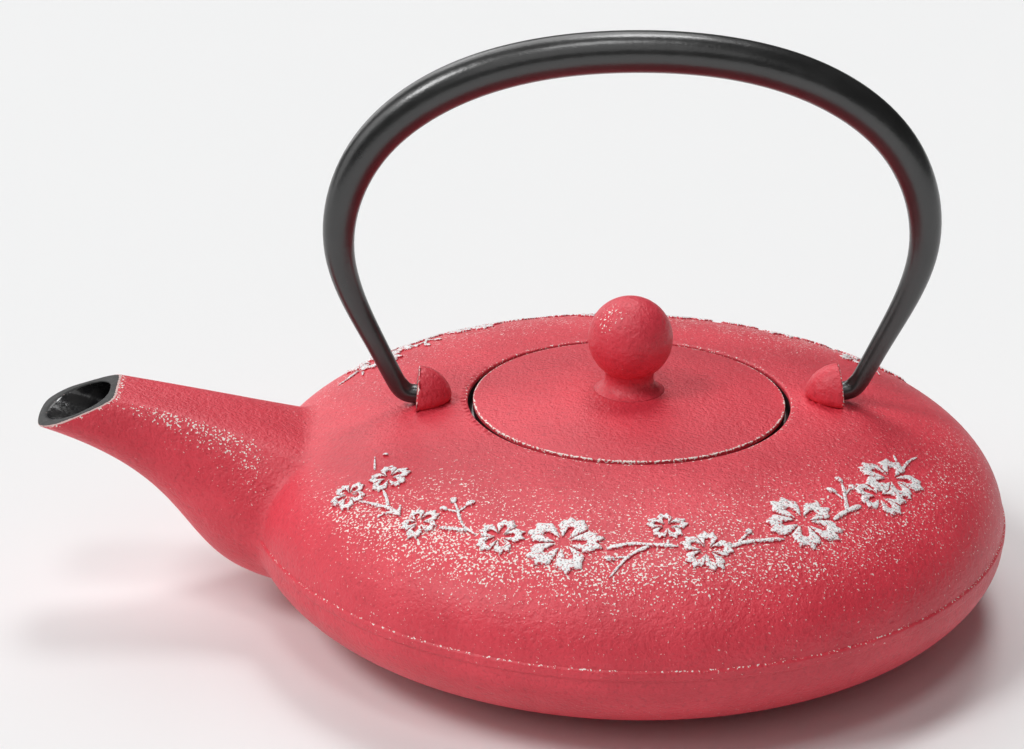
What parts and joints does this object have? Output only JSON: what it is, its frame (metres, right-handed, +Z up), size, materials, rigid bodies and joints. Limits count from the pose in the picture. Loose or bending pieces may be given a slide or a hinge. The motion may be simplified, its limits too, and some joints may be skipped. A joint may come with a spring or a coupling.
{
  "type": "cast iron teapot",
  "caption": "Low, flat cast iron teapot with a swinging bail handle, a flush lid with a ball knob, and a lift-out mesh tea infuser.",
  "frame": {"origin": "middle of the base, on the ground pad at the centre of the underside", "axes": "+Z up; +X away from the spout, so the spout points along -X; +Y across, to the right of a person who pours with the spout pointing away"},
  "size_m": [0.2166, 0.1706, 0.1319],
  "materials": {
    "red_enamel_iron": "fine sand-cast surface with raspberry red enamel, rubbed with silver on the relief and edges; black enamel inside",
    "black_painted_steel": "satin black paint",
    "stainless": "brushed",
    "stainless_mesh": "fine woven wire"
  },
  "bodies": {
    "pot": {"pot_body": "red_enamel_iron"},
    "infuser": {"infuser_rim": "stainless", "infuser_wall": "stainless_mesh", "infuser_floor": "stainless_mesh", "infuser_bottom_ring": "stainless"},
    "lid": {"lid": "red_enamel_iron", "lid_knob": "red_enamel_iron", "knob_washer": "stainless", "knob_nut": "stainless"},
    "handle": {"handle": "black_painted_steel"}
  },
  "joints": [
    {"name": "handle_swing", "type": "hinge", "parent": "pot", "child": "handle", "pos_m": [0, 0, 0.049], "axis": [1, 0, 0], "range_deg": [-94, 94]},
    {"name": "infuser_lift", "type": "slide", "parent": "pot", "child": "infuser", "axis": [0, 0, 1], "range_m": [0, 0.042]},
    {"name": "lid_lift", "type": "slide", "parent": "infuser", "child": "lid", "axis": [0, 0, 1], "range_m": [0, 0.045]}
  ]
}
